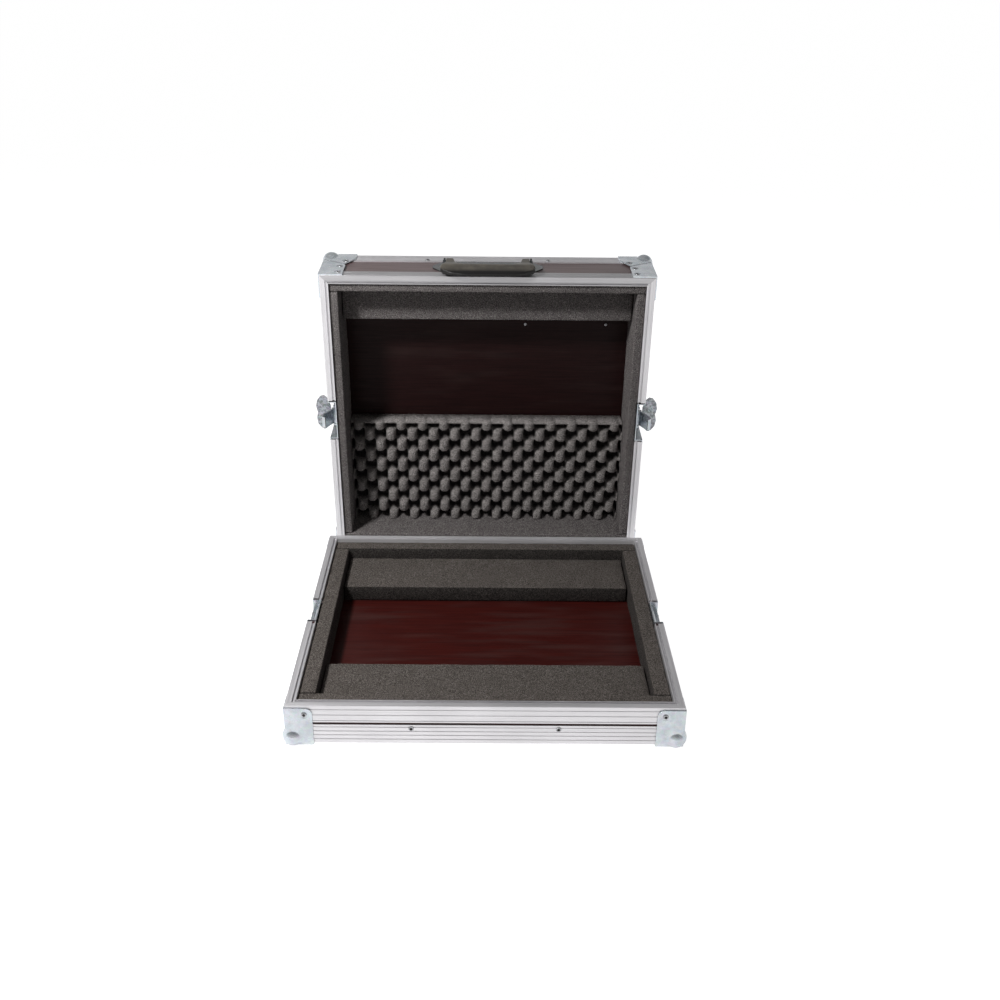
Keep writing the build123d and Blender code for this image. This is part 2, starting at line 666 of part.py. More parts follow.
def crate_peak():
    """One peak of the convoluted foam, hanging from z = 0: two tapered bars crossed."""
    drop = CRATE_HEIGHT - CRATE_BASE
    narrow = drop * math.tan(math.radians(CRATE_TAPER))
    bars = []
    for step, across, plane in (
        (CRATE_COLUMN_STEP, CRATE_ROW_STEP, Plane.XZ),
        (CRATE_ROW_STEP, CRATE_COLUMN_STEP, Plane.YZ),
    ):
        half = step / 2 - CRATE_GAP
        outline = [(-half, 0), (half, 0), (half - narrow, -drop), (narrow - half, -drop)]
        face = make_face(plane * Polyline(*outline, close=True))
        bars.append(extrude(face, amount=across / 2 - CRATE_GAP, both=True))
    return bars[0] & bars[1]


def egg_crate():
    """Convoluted foam on the cover's ceiling: a slab with staggered peaks, cut to size."""
    half = WIDTH / 2 - RIM - COVER_LINER - FOAM_CLEAR
    rear = DEPTH / 2 - RIM - COVER_LINER - FOAM_CLEAR
    front = rear - CRATE_LENGTH
    slab = block(-half, half, front, rear, COVER_CEILING_Z - CRATE_BASE, COVER_CEILING_Z)
    peak = crate_peak()
    rows = math.ceil(CRATE_LENGTH / CRATE_ROW_STEP)
    columns = math.ceil(half / CRATE_COLUMN_STEP)
    places = [
        (column * CRATE_COLUMN_STEP, front + CRATE_FIRST_ROW + row * CRATE_ROW_STEP)
        for row in range(rows)
        for column in range(-columns, columns + 1)
        if (row + column) % 2 == 0
    ]
    peaks = [Pos(x, y, COVER_CEILING_Z - CRATE_BASE) * peak for x, y in places]
    cut = block(-half, half, front, rear, COVER_CEILING_Z - CRATE_HEIGHT, COVER_CEILING_Z)
    return slab.fuse(*peaks) & cut


def sunk_rivets(rivet, outer_z, side):
    """Rivets in the dimples of four corner fittings."""
    spots = corner_spots(rivet[0], rivet[1], outer_z, side)
    right = [rivet_head(place, out, DIMPLE_DEPTH) for place, out in spots]
    return [r for head in right for r in four_of(head)]


def angle_rivets(z):
    """Rivets through the edge angles, two to each side."""
    front = rivet_head((RIVET_ALONG, -DEPTH / 2, z), (0, -1, 0))
    side = rivet_head((WIDTH / 2, -RIVET_ALONG, z), (1, 0, 0))
    return four_of(front) + four_of(side)


def dish_rivets(y, z):
    """Two rivets through the flange of each side's dish."""
    return four_of(rivet_head((WIDTH / 2 - FLANGE + SHEET, -y, z), (1, 0, 0)))


def tray_rivets():
    """Every rivet of the tray."""
    heads = sunk_rivets(TRAY_CORNER_RIVET, FOOT, 1)
    heads += angle_rivets(FOOT + RIVET_UP)
    return heads + dish_rivets(TRAY_DISH_RIVET[0], TRAY_RIM_Z - TRAY_DISH_RIVET[1])


def cover_rivets():
    """Every rivet of the cover."""
    heads = sunk_rivets(COVER_CORNER_RIVET, COVER_TOP_Z, -1)
    heads += sunk_rivets(BRACE_RIVET, COVER_RIM_Z, 1)
    heads += angle_rivets(COVER_TOP_Z - RIVET_UP)
    return heads + dish_rivets(COVER_DISH_RIVET[0], COVER_RIM_Z + COVER_DISH_RIVET[1])


def save(name, shape):
    """One node to its own file; a list becomes a group of separate solids."""
    if isinstance(shape, list):
        solids = [s for item in shape for s in item.solids()]
        shape = Compound(children=solids)
    export_step(shape, "parts/" + name + ".step")


def save_tray():
    """Every piece of the tray."""
    front, right = tray_walls()
    save("tray_bottom_panel", lay(panel(FOOT + FLANGE)))
    save("tray_wall_front", lay(front))
    save("tray_wall_rear", lay(behind(front)))
    save("tray_wall_right", lay(right))
    save("tray_wall_left", lay(left_of(right)))
    front, right = frame_bars(angle_section(ANGLE_MARKS), FOOT, False, ANGLE_NOSE)
    save("tray_edge_angle_front", lay(front))
    save("tray_edge_angle_rear", lay(behind(front)))
    save("tray_edge_angle_right", lay(right))
    save("tray_edge_angle_left", lay(left_of(right)))
    front, right = rim_bars(TRAY_RIM_LEG, TRAY_RIM_MARKS, TRAY_RIM_Z, False, NOTCH_TRAY)
    save("tray_rim_front", lay(front))
    save("tray_rim_rear", lay(behind(front)))
    save("tray_rim_right", [lay(right)])
    save("tray_rim_left", [lay(left_of(right))])
    save("tray_ball_corners", [lay(c) for c in four_of(ball_corner(FOOT, True, 0, TRAY_CORNER_RIVET))])
    save("tray_keeper_right", lay(keeper()))
    save("tray_keeper_left", lay(left_of(keeper())))
    front, right = tray_liners()
    save("tray_foam_front", lay(front))
    save("tray_foam_rear", lay(behind(front)))
    save("tray_foam_right", lay(right))
    save("tray_foam_left", lay(left_of(right)))
    save("tray_foam_block_front", lay(tray_block()))
    save("tray_foam_block_rear", lay(behind(tray_block())))
    save("tray_rivets", [lay(r) for r in tray_rivets()])


def save_cover():
    """Every fixed piece of the cover."""
    front, right = cover_walls()
    save("cover_top_panel", stand(panel(COVER_CEILING_Z)))
    save("cover_wall_front", stand(front))
    save("cover_wall_rear", stand(behind(front)))
    save("cover_wall_right", stand(right))
    save("cover_wall_left", stand(left_of(right)))
    front, right = frame_bars(angle_section(ANGLE_MARKS), COVER_TOP_Z, True, ANGLE_NOSE)
    save("cover_edge_angle_front", stand(front))
    save("cover_edge_angle_rear", stand(behind(front)))
    save("cover_edge_angle_right", stand(right))
    save("cover_edge_angle_left", stand(left_of(right)))
    front, right = rim_bars(COVER_RIM_LEG, COVER_RIM_MARKS, COVER_RIM_Z, True, NOTCH_COVER)
    save("cover_rim_front", stand(front))
    save("cover_rim_rear", stand(behind(front)))
    save("cover_rim_right", [stand(right)])
    save("cover_rim_left", [stand(left_of(right))])
    corner = ball_corner(COVER_TOP_Z, False, COVER_CORNER_LEG, COVER_CORNER_RIVET)
    save("cover_ball_corners", [stand(c) for c in four_of(corner)])
    save("cover_corner_braces", [stand(c) for c in four_of(brace())])
    front, right = cover_liners()
    save("cover_foam_front", stand(front))
    save("cover_foam_rear", stand(behind(front)))
    save("cover_foam_right", stand(right))
    save("cover_foam_left", stand(left_of(right)))
    save("cover_foam_strip", stand(cover_strip()))
    save("cover_foam_egg_crate", stand(egg_crate()))
    save("cover_rivets", [stand(r) for r in cover_rivets()])


def save_handle():
    """The carrying handle on the cover's front wall."""
    save("handle_plate", stand(handle_plate()))
    save("handle_pins", [stand(p) for p in handle_pins()])
    save("handle_grip", stand(handle_grip()))


def save_latches():
    """The two twist latches."""
    pieces = [
        ("latch_dish", latch_dish()),
        ("latch_spindle", spindle()),
        ("latch_wing_pin", wing_pin()),
        ("latch_wing", wing()),
        ("latch_hook", hook()),
    ]
    for name, piece in pieces:
        save(name + "_right", stand(piece))
        save(name + "_left", stand(left_of(piece)))
    save("latch_hook_pins", [stand(hook_pin()), stand(left_of(hook_pin()))])


os.makedirs("parts", exist_ok=True)
save_tray()
save_cover()
save_handle()
save_latches()
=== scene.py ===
import json
import math
from itertools import product

import bmesh
import bpy
from mathutils import Matrix, Vector, noise

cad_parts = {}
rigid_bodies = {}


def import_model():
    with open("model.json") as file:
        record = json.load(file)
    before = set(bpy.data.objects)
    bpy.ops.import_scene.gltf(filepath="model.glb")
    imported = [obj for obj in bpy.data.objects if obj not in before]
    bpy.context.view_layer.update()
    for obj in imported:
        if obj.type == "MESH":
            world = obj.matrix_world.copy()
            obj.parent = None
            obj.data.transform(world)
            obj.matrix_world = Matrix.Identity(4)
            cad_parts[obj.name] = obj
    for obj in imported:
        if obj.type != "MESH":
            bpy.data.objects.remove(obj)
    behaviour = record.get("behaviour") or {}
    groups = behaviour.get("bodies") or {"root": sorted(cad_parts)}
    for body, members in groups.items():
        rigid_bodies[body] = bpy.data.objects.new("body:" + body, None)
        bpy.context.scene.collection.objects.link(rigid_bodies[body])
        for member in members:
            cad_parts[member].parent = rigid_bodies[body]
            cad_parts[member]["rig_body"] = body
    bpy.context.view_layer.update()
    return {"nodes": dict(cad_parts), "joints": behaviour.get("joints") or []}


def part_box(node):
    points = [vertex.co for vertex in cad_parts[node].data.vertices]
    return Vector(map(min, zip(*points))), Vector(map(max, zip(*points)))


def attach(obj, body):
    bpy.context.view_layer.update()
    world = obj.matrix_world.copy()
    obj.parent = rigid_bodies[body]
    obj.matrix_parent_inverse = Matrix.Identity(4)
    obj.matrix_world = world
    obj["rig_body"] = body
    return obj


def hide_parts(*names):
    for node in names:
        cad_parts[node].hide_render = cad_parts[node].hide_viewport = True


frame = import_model()

MM = 0.001
SAME_POINT = 0.001 * MM

# Every cover piece is made in the closed case and carried to its stand behind
# the tray by the turn of the joint that closes it.
PLACE = next(j for j in frame["joints"] if j["name"] == "cover_place")
PIVOT = Vector(PLACE["pos_m"])
STAND = (
    Matrix.Translation(PIVOT)
    @ Matrix.Rotation(-math.radians(PLACE["range_deg"][1]), 4, "X")
    @ Matrix.Translation(-PIVOT)
)
FLAT = Matrix.Identity(4)

# The middle of the case's depth, and its front face.
MID_Y = sum(corner.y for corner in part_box("tray_bottom_panel")) / 2
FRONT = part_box("tray_edge_angle_front")[0].y


# Nodes and meshes


def home(node):
    """The turn that carries a node of the closed case to where it rests."""
    return FLAT if frame["nodes"][node]["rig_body"] == "tray" else STAND


def span_of(points):
    """Lowest and highest corner of some points."""
    low = Vector([min(p[i] for p in points) for i in range(3)])
    high = Vector([max(p[i] for p in points) for i in range(3)])
    return low, high


def closed_box(node):
    """Lowest and highest corner of a node in the closed case."""
    back = home(node).inverted()
    return span_of([back @ v.co for v in frame["nodes"][node].data.vertices])


def merged_mesh(node):
    """A node's mesh where it rests, each of its points once."""
    bm = bmesh.new()
    bm.from_mesh(frame["nodes"][node].data)
    bmesh.ops.remove_doubles(bm, verts=bm.verts, dist=SAME_POINT)
    return bm


def paint(node, material):
    """Give a node of the frame its one material."""
    slots = frame["nodes"][node].data.materials
    slots.clear()
    slots.append(material)


def new_object(name, bm, *materials):
    """A smooth-shaded object made of a finished mesh."""
    mesh = bpy.data.meshes.new(name)
    bm.normal_update()
    bm.to_mesh(mesh)
    bm.free()
    for material in materials:
        mesh.materials.append(material)
    for polygon in mesh.polygons:
        polygon.use_smooth = True
    piece = bpy.data.objects.new(name, mesh)
    bpy.context.scene.collection.objects.link(piece)
    return piece


def stand_in(name, bm, node, slot, *materials):
    """A finished mesh that stands for a node and rides with its body."""
    piece = new_object(name, bm, *materials)
    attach(piece, frame["nodes"][node]["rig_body"])
    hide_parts(node)
    return piece


def soften(piece, voxel, rounds):
    """Remesh a piece finely and wear its edges round."""
    remesh = piece.modifiers.new("skin", "REMESH")
    remesh.mode = "VOXEL"
    remesh.voxel_size = voxel
    remesh.use_smooth_shade = True
    smooth = piece.modifiers.new("soften", "SMOOTH")
    smooth.iterations = rounds
    smooth.factor = 0.5
    graph = bpy.context.evaluated_depsgraph_get()
    done = bpy.data.meshes.new_from_object(piece.evaluated_get(graph))
    piece.modifiers.clear()
    piece.data = done


def clamp(value):
    """A value held between 0 and 1."""
    return min(max(value, 0.0), 1.0)


# Node trees

# The colour sockets of a mix node, which has a set for each kind of value.
MIX_FACTOR = 0
MIX_ONE = 6
MIX_OTHER = 7
MIX_RESULT = 2


class Tree:
    """Adds and joins the nodes of a material or of the world."""

    def __init__(self, tree):
        self.tree = tree

    def add(self, kind, **settings):
        node = self.tree.nodes.new(kind)
        for key, value in settings.items():
            setattr(node, key, value)
        return node

    def feed(self, socket, value):
        """Join a socket to another, or set its value."""
        if isinstance(value, bpy.types.NodeSocket):
            self.tree.links.new(value, socket)
        else:
            socket.default_value = value

    def feed_all(self, node, sockets):
        for name, value in sockets.items():
            self.feed(node.inputs[name], value)

    def math(self, operation, one, other):
        node = self.add("ShaderNodeMath", operation=operation)
        self.feed(node.inputs[0], one)
        self.feed(node.inputs[1], other)
        return node.outputs[0]

    def axis(self, name, vector):
        """The X, Y or Z of a vector."""
        node = self.add("ShaderNodeSeparateXYZ")
        self.feed(node.inputs[0], vector)
        return node.outputs[name]

    def span(self, value, start, full, first, last):
        """Goes smoothly from first to last while a value goes from start to full."""
        node = self.add("ShaderNodeMapRange", interpolation_type="SMOOTHSTEP")
        self.feed(node.inputs["Value"], value)
        self.feed_all(node, {"From Min": start, "From Max": full, "To Min": first, "To Max": last})
        return node.outputs[0]

    def blend(self, factor, one, other):
        """One shader, or the other where the factor is 1."""
        node = self.add("ShaderNodeMixShader")
        for socket, value in zip(node.inputs, (factor, one, other)):
            self.feed(socket, value)
        return node.outputs[0]


class Finish(Tree):
    """One procedural material, whose patterns lie as they do in the closed case."""

    def __init__(self, name, color, place=FLAT, *, roughness, metallic=0.0, specular=0.5):
        self.material = bpy.data.materials.new(name)
        self.material.use_nodes = True
        self.material.diffuse_color = (*color, 1)
        super().__init__(self.material.node_tree)
        self.shader = self.tree.nodes["Principled BSDF"]
        uniform = {
            "Base Color": (*color, 1),
            "Roughness": roughness,
            "Metallic": metallic,
            "Specular IOR Level": specular,
        }
        self.feed_all(self.shader, uniform)
        self.relief = None
        self.at = self.add("ShaderNodeTexCoord").outputs["Object"]
        if place != FLAT:
            turn = self.add("ShaderNodeMapping", vector_type="TEXTURE")
            self.feed_all(turn, {"Vector": self.at, "Location": place.translation})
            self.feed(turn.inputs["Rotation"], place.to_euler())
            self.at = turn.outputs["Vector"]

    def noise(self, scale, detail, roughness, distortion=0.0):
        """Noise with so many waves to the metre, or so many along X, Y and Z."""
        at = self.at
        if isinstance(scale, tuple):
            stretch = self.add("ShaderNodeVectorMath", operation="MULTIPLY")
            self.feed(stretch.inputs[0], at)
            self.feed(stretch.inputs[1], scale)
            at, scale = stretch.outputs[0], 1.0
        node = self.add("ShaderNodeTexNoise")
        self.feed_all(node, {"Vector": at, "Scale": scale, "Detail": detail})
        self.feed_all(node, {"Roughness": roughness, "Distortion": distortion})
        return node.outputs[0]

    def cells(self, scale, output):
        """Random cells, so many to the metre."""
        node = self.add("ShaderNodeTexVoronoi")
        self.feed_all(node, {"Vector": self.at, "Scale": scale})
        return node.outputs[output]

    def mix(self, factor, one, other, blend="MIX"):
        """One colour, or the other where the factor is 1."""
        node = self.add("ShaderNodeMix", data_type="RGBA", blend_type=blend)
        for index, value in ((MIX_FACTOR, factor), (MIX_ONE, one), (MIX_OTHER, other)):
            self.feed(node.inputs[index], (*value, 1) if isinstance(value, tuple) else value)
        return node.outputs[MIX_RESULT]

    def lay(self, tone, over, pattern, start, full, amount=1.0):
        """A tone with another laid over it where a pattern goes from start to full."""
        return self.mix(self.span(pattern, start, full, 0.0, amount), tone, over)

    def color(self, tone):
        self.feed(self.shader.inputs["Base Color"], tone)

    def rough(self, pattern, start, full, first, last):
        """Roughness that goes from first to last while a pattern goes from start to full."""
        self.feed(self.shader.inputs["Roughness"], self.span(pattern, start, full, first, last))

    def bump(self, pattern, distance, strength):
        """Relief on top of the relief so far."""
        node = self.add("ShaderNodeBump")
        self.feed_all(node, {"Strength": strength, "Distance": distance, "Height": pattern})
        if self.relief:
            self.feed(node.inputs["Normal"], self.relief)
        self.relief = node.outputs[0]
        self.feed(self.shader.inputs["Normal"], self.relief)


# Materials

# Colours are linear, and in each pair the darker tone comes first.
ALUMINIUM = (0.72, 0.705, 0.72)
ALUMINIUM_TONES = ((0.66, 0.65, 0.665), (0.80, 0.785, 0.805))
ALUMINIUM_DULL = (0.57, 0.56, 0.575)
ALUMINIUM_SCUFF = (0.36, 0.35, 0.36)
ZINC_TONES = ((0.46, 0.495, 0.53), (0.62, 0.65, 0.685))
ZINC_PAINTED_REFLECTION = (0.05, 0.05, 0.048)
ZINC_SPANGLE = 0.1
RIVET = (0.5, 0.5, 0.52)
RIVET_TONES = ((0.30, 0.30, 0.31), (0.62, 0.62, 0.64))
# The inside of a rivet's hole: near black, painted shade.
RIVET_HOLE_SHADE = (0.03, 0.028, 0.027)
RIVET_HOLE_SHADE_TONES = ((0.014, 0.013, 0.013), (0.06, 0.057, 0.055))
TRAY_PLY = ((0.030, 0.0050, 0.0042), (0.064, 0.0090, 0.0070))
# The cover panel's inside: a far darker copy of the ply, painted shade.
COVER_PLY_PAINTED_SHADE = ((0.010, 0.0042, 0.0042), (0.022, 0.0080, 0.0078))
OUTER_PLY = ((0.032, 0.011, 0.010), (0.085, 0.032, 0.029))
# The cover's front wall, its top as it stands: a lighter copy of the ply, painted light and sheen.
FRONT_PLY_PAINTED_LIGHT = ((0.085, 0.055, 0.055), (0.15, 0.105, 0.105))
PLY_HAZE = (0.085, 0.06, 0.055)
TRAY_FOAM_TOP = ((0.058, 0.050, 0.045), (0.165, 0.146, 0.132))
# The tray foam's sides: a darker copy of its top tones, painted shade.
TRAY_FOAM_SIDE_PAINTED_SHADE = ((0.030, 0.027, 0.025), (0.090, 0.081, 0.075))
COVER_FOAM = ((0.088, 0.080, 0.078), (0.255, 0.234, 0.228))
CRATE_FOAM = ((0.130, 0.120, 0.116), (0.400, 0.372, 0.358))
CRATE_CUT = ((0.150, 0.138, 0.134), (0.440, 0.410, 0.395))
GRIP = (0.05, 0.047, 0.042)
GRIP_WORN = ((0.060, 0.053, 0.043), (0.112, 0.100, 0.081))
GRIP_PAINTED_SHADE = (0.010, 0.009, 0.009)

# How much lighter or darker than its own tones the foam's cell walls and pores are, and how dark
# the painted shade in the bottoms of the egg crate's hollows is.
WALL_SHADE = 2.1
PORE_SHADE = 0.2
HOLLOW_PAINTED_SHADE = 0.12

# Painted shade makes the grip black up to the first of these distances from the case's front face,
# under the grip; its own worn tones show from the second.
GRIP_PAINTED_SHADE_TO = 9.0 * MM
GRIP_PAINTED_SHADE_ENDS = 11.5 * MM


def shaded(color, shade):
    """A colour made darker or lighter."""
    return tuple(shade * c for c in color)


def drawn_out(run, along, across):
    """The scale of a noise that is drawn out along X or Y."""
    return tuple(along if axis == run else across for axis in "XYZ")


def aluminium(name, place, run, shade=1.0, metal=0.8):
    """Satin anodised extrusion, brushed along the way that it runs."""
    low, high = (shaded(tone, shade) for tone in ALUMINIUM_TONES)
    coat = Finish(name, ALUMINIUM, place, roughness=0.46, metallic=metal)
    streak = coat.noise(drawn_out(run, 6, 900), detail=3, roughness=0.6)
    cloud = coat.noise(14, detail=3, roughness=0.5)
    scuff = coat.noise(drawn_out(run, 60, 240), detail=5, roughness=0.7)
    tone = coat.lay(low, high, streak, 0.3, 0.7)
    tone = coat.lay(tone, shaded(ALUMINIUM_DULL, shade), cloud, 0.35, 0.7, amount=0.35)
    tone = coat.lay(tone, ALUMINIUM_SCUFF, scuff, 0.64, 0.76, amount=0.45)
    coat.color(tone)
    coat.rough(streak, 0.2, 0.8, first=0.38, last=0.54)
    coat.bump(streak, 0.03 * MM, strength=0.5)
    return coat.material


def zinc(name, place, shade=1.0, painted_reflection=0.0):
    """Zinc-plated pressed steel, slightly blue and softly marked, with dark blotches of painted
    reflection if asked.
    """
    low, high = (shaded(tone, shade) for tone in ZINC_TONES)
    coat = Finish(name, high, place, roughness=0.2, metallic=0.8)
    cloud = coat.noise(60, detail=4, roughness=0.6)
    fine = coat.noise(500, detail=3, roughness=0.6)
    tone = coat.lay(low, high, cloud, 0.3, 0.7)
    tone = coat.mix(ZINC_SPANGLE, tone, coat.cells(260, "Color"), "SOFT_LIGHT")
    # Dark blotches of painted reflection.
    if painted_reflection:
        spots = coat.noise(230, detail=3, roughness=0.7)
        tone = coat.lay(tone, ZINC_PAINTED_REFLECTION, spots, 0.44, 0.58, amount=painted_reflection)
    coat.color(tone)
    coat.rough(fine, 0.25, 0.75, first=0.13, last=0.28)
    coat.bump(cloud, 0.3 * MM, strength=0.2)
    coat.bump(fine, 0.04 * MM, strength=0.4)
    return coat.material


def rivet_steel(name, place):
    """The dull flange of a blind rivet."""
    coat = Finish(name, RIVET, place, roughness=0.42, metallic=0.85)
    wear = coat.noise(350, detail=4, roughness=0.6)
    coat.color(coat.lay(*RIVET_TONES, wear, 0.3, 0.7))
    coat.rough(wear, 0.25, 0.75, first=0.3, last=0.55)
    coat.bump(wear, 0.12 * MM, strength=0.5)
    return coat.material


def hole_shade_finish(name):
    """The near-black inside of a blind rivet's sunken hole, round its stub: painted shade."""
    coat = Finish(name, RIVET_HOLE_SHADE, roughness=0.6, metallic=0.6)
    soot = coat.noise(900, detail=3, roughness=0.6)
    coat.color(coat.lay(*RIVET_HOLE_SHADE_TONES, soot, 0.35, 0.65))
    coat.bump(soot, 0.1 * MM, strength=0.5)
    return coat.material


def laminate(name, place, tones, haze, gloss, painted_shade_ends=None):
    """Dark red-brown wood-grain film on plywood, with a soft gloss and a paler haze.

    The last argument, if given, is the span of height over which a panel darkened by painted shade
    takes on the tones of its outside.
    """
    low, high = tones
    coat = Finish(name, high, place, roughness=0.38, specular=gloss)
    warp = coat.noise(drawn_out("X", 9, 54), detail=2, roughness=0.5)
    figure = coat.noise(drawn_out("X", 14, 520), detail=6, roughness=0.7, distortion=0.15)
    pores = coat.noise(drawn_out("X", 70, 2200), detail=3, roughness=0.7)
    tone = coat.lay(low, high, figure, 0.25, 0.75)
    if painted_shade_ends:
        outside = coat.lay(*OUTER_PLY, figure, 0.25, 0.75)
        tone = coat.lay(tone, outside, coat.axis("Z", coat.at), *painted_shade_ends)
    tone = coat.lay(tone, shaded(low, 0.5), pores, 0.55, 0.78, amount=0.4)
    tone = coat.lay(tone, PLY_HAZE, warp, 0.45, 0.75, amount=haze)
    coat.color(tone)
    coat.rough(figure, 0.2, 0.8, first=0.46, last=0.30)
    coat.bump(pores, -0.06 * MM, strength=0.5)
    return coat.material


def foam_finish(name, place, tones, painted_hollow_shade=None):
    """Cut open-cell foam: matt and granular, with bright cell walls and dark pores.

    The last argument, if given, is the span of height over which painted shade darkens the bottoms
    of its hollows.
    """
    low, high = tones
    coat = Finish(name, high, place, roughness=0.95, specular=0.12)
    pore = coat.cells(800, "Distance")
    grain = coat.noise(760, detail=3, roughness=0.8)
    patch = coat.noise(45, detail=4, roughness=0.6)
    tone = coat.lay(high, low, pore, 0.15, 0.75)
    tone = coat.lay(tone, shaded(high, WALL_SHADE), grain, 0.54, 0.66, amount=0.75)
    tone = coat.lay(tone, shaded(low, PORE_SHADE), grain, 0.46, 0.32, amount=0.8)
    tone = coat.lay(tone, low, patch, 0.35, 0.7, amount=0.25)
    # Painted shade, darker towards the bottoms of the hollows.
    if painted_hollow_shade:
        tone = coat.lay(tone, shaded(low, HOLLOW_PAINTED_SHADE), coat.axis("Z", coat.at), *painted_hollow_shade, amount=0.85)
    coat.color(tone)
    coat.bump(pore, -0.9 * MM, strength=0.75)
    coat.bump(grain, 0.4 * MM, strength=0.6)
    return coat.material


def grip_rubber(name, place):
    """Moulded dark plastic with a faint pebbled skin and worn paler tones, and painted shade that
    makes it black beneath.
    """
    coat = Finish(name, GRIP, place, roughness=0.36, specular=0.28)
    pebble = coat.cells(900, "Distance")
    wear = coat.noise(70, detail=4, roughness=0.6)
    worn = coat.lay(*GRIP_WORN, wear, 0.35, 0.7)
    # Painted shade: near the front face, under the grip, the colour goes black.
    stand_out = coat.math("SUBTRACT", FRONT, coat.axis("Y", coat.at))
    coat.color(coat.lay(GRIP_PAINTED_SHADE, worn, stand_out, GRIP_PAINTED_SHADE_TO, GRIP_PAINTED_SHADE_ENDS))
    coat.rough(wear, 0.3, 0.7, first=0.34, last=0.48)
    coat.bump(pebble, 0.12 * MM, strength=0.4)
    return coat.material


# Foam blocks

FOAM_CELL = 8 * MM
FOAM_EDGE = 2.2 * MM
# Where the row of points in the middle of a rounded edge lies, as a share of the edge.
EDGE_MIDDLE = 0.35
# How deep under the node's box the skin lies, give or take its waves and dents.
SKIN_DEPTH = 0.5 * MM
WAVE_DEPTH = 0.45 * MM
WAVE_SCALE = 38
DENT_DEPTH = 0.3 * MM
DENT_SCALE = 140
SEED_STEP = 7


def grid_steps(low, high):
    """Places along one side: close together at the rounded edges, even between."""
    first = low + FOAM_EDGE
    inside = high - low - 2 * FOAM_EDGE
    count = max(2, round(inside / FOAM_CELL))
    inner = [first + inside * i / count for i in range(count + 1)]
    middle = FOAM_EDGE * EDGE_MIDDLE
    return [low, low + middle, *inner, high - middle, high]


def cut_point(point, low, high, seed):
    """Where a point on the box of a foam block lies on its rounded, slightly uneven skin."""
    core = Vector([min(max(point[i], low[i] + FOAM_EDGE), high[i] - FOAM_EDGE) for i in range(3)])
    out = point - core
    if out.length > FOAM_EDGE:
        point = core + out.normalized() * FOAM_EDGE
    wave = WAVE_DEPTH * noise.noise(point * WAVE_SCALE + Vector((seed, 0, 0)))
    dent = DENT_DEPTH * noise.noise(point * DENT_SCALE + Vector((0, seed, 0)))
    return point - out.normalized() * (SKIN_DEPTH + wave + dent)


def cut_block(node, seed, top, side):
    """A cut foam block, its upper and lower faces in one finish and its sides in another."""
    low, high = closed_box(node)
    steps = [grid_steps(low[i], high[i]) for i in range(3)]
    bm = bmesh.new()
    verts = {}

    def vert(key):
        if key not in verts:
            point = Vector([steps[i][key[i]] for i in range(3)])
            verts[key] = bm.verts.new(home(node) @ cut_point(point, low, high, seed))
        return verts[key]

    for axis in range(3):
        u, v = (axis + 1) % 3, (axis + 2) % 3
        for end in (0, len(steps[axis]) - 1):
            for i, j in product(range(len(steps[u]) - 1), range(len(steps[v]) - 1)):
                corners = []
                for du, dv in ((0, 0), (1, 0), (1, 1), (0, 1)):
                    key = [0, 0, 0]
                    key[axis], key[u], key[v] = end, i + du, j + dv
                    corners.append(vert(tuple(key)))
                face = bm.faces.new(corners if end else corners[::-1])
                face.material_index = int(axis != 2)
    piece = stand_in(f"{node}_cut", bm, node, "foam", top, side)


# The egg-crate foam

CRATE_COLUMNS = 300
CRATE_ROWS = 120
# How far apart the lobes are, and how far the first row is from the block's end.
CRATE_STEP_X = 15.85 * MM
CRATE_STEP_Y = 17.0 * MM
CRATE_FIRST = 4.0 * MM
# The hollows' and the flanks' height over the panel, and the crown on top of a lobe.
CRATE_LOW = 10.0 * MM
CRATE_HIGH = 31.5 * MM
CRATE_CROWN = 3.2 * MM
# The flanks' width, the lobes' share of the surface, and how much taller they are than wide.
CRATE_SLOPE = 0.36
CRATE_WIDE = 0.55
CRATE_TALL = 0.22
# The ledge that is left uncut along one end: its share of the height, its width and its fall.
CRATE_LEDGE = 0.9
CRATE_SELVAGE = 5.5 * MM
CRATE_FALL = 3 * MM
RAGGED_DEPTH = 0.4 * MM
RAGGED_SCALE = 300
# The height over the panel at which the painted shade in a hollow begins, and where it is darkest.
CRATE_SHADE_FROM = 26 * MM
CRATE_SHADE_TO = 12 * MM


def crate_height(x, y):
    """How far the egg-crate foam stands out from the panel, y from the block's end."""
    across = math.cos(math.pi * x / CRATE_STEP_X)
    along = math.cos(math.pi * (y - CRATE_FIRST) / CRATE_STEP_Y)
    wave = across * along + CRATE_TALL * (across**2 - along**2)
    rise = clamp(CRATE_WIDE + wave / (2 * CRATE_SLOPE))
    lobe = rise * rise * (3 - 2 * rise)
    ledge = CRATE_LEDGE * clamp((CRATE_SELVAGE - y) / CRATE_FALL)
    return CRATE_LOW + (CRATE_HIGH - CRATE_LOW) * max(lobe, ledge) + CRATE_CROWN * max(wave, 0)


